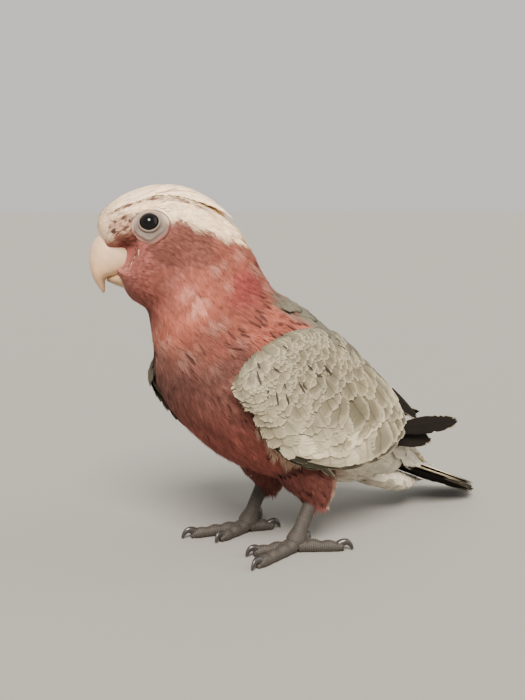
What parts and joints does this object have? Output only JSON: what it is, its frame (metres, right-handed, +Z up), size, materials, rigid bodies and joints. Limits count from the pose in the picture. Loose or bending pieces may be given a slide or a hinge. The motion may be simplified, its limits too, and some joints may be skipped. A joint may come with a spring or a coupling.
{
  "type": "galah",
  "caption": "Life-size still model of a young galah standing with its head turned, as a museum shows one.",
  "frame": {"origin": "on the floor under the middle of the bird's bounding box", "axes": "-X is the way the body faces, -Y is the bird's left, +Z is up"},
  "size_m": [0.2234, 0.082, 0.1637],
  "materials": {
    "crown": "fine soft feathers",
    "rose": "fine soft feathers",
    "wing": "matt contour feathers with pale edges",
    "dark": "stiff flight feathers with a slight sheen",
    "rump": "soft feathers",
    "bill": "smooth horn",
    "eye": "wet gloss",
    "bare_skin": "soft wrinkled skin",
    "foot": "fine scales",
    "claw": "worn horn"
  },
  "bodies": {
    "root": {"head": "crown", "crest": "crown", "neck": "rose", "trunk": "rose", "thigh_left": "rose", "thigh_right": "rose", "wing_coverts_left": "wing", "wing_coverts_right": "wing", "wing_secondaries_left": "wing", "wing_secondaries_right": "wing", "wing_primaries_left": "dark", "wing_primaries_right": "dark", "primary_tip_1_left": "dark", "primary_tip_1_right": "dark", "primary_tip_2_left": "dark", "primary_tip_2_right": "dark", "tertial_left": "dark", "tertial_right": "dark", "tail_feather_left_1": "dark", "tail_feather_left_2": "dark", "tail_feather_left_3": "dark", "tail_feather_left_4": "dark", "tail_feather_left_5": "dark", "tail_feather_left_6": "dark", "tail_feather_right_1": "dark", "tail_feather_right_2": "dark", "tail_feather_right_3": "dark", "tail_feather_right_4": "dark", "tail_feather_right_5": "dark", "tail_feather_right_6": "dark", "rump": "rump", "undertail_coverts": "rump", "uppertail_coverts": "rump", "bill_upper": "bill", "bill_lower": "bill", "eye_left": "eye", "eye_right": "eye", "eye_ring_left": "bare_skin", "eye_ring_right": "bare_skin", "shank_left": "foot", "shank_right": "foot", "toe_1_left": "foot", "toe_2_left": "foot", "toe_3_left": "foot", "toe_4_left": "foot", "toe_1_right": "foot", "toe_2_right": "foot", "toe_3_right": "foot", "toe_4_right": "foot", "claw_1_left": "claw", "claw_2_left": "claw", "claw_3_left": "claw", "claw_4_left": "claw", "claw_1_right": "claw", "claw_2_right": "claw", "claw_3_right": "claw", "claw_4_right": "claw"}
  },
  "joints": []
}
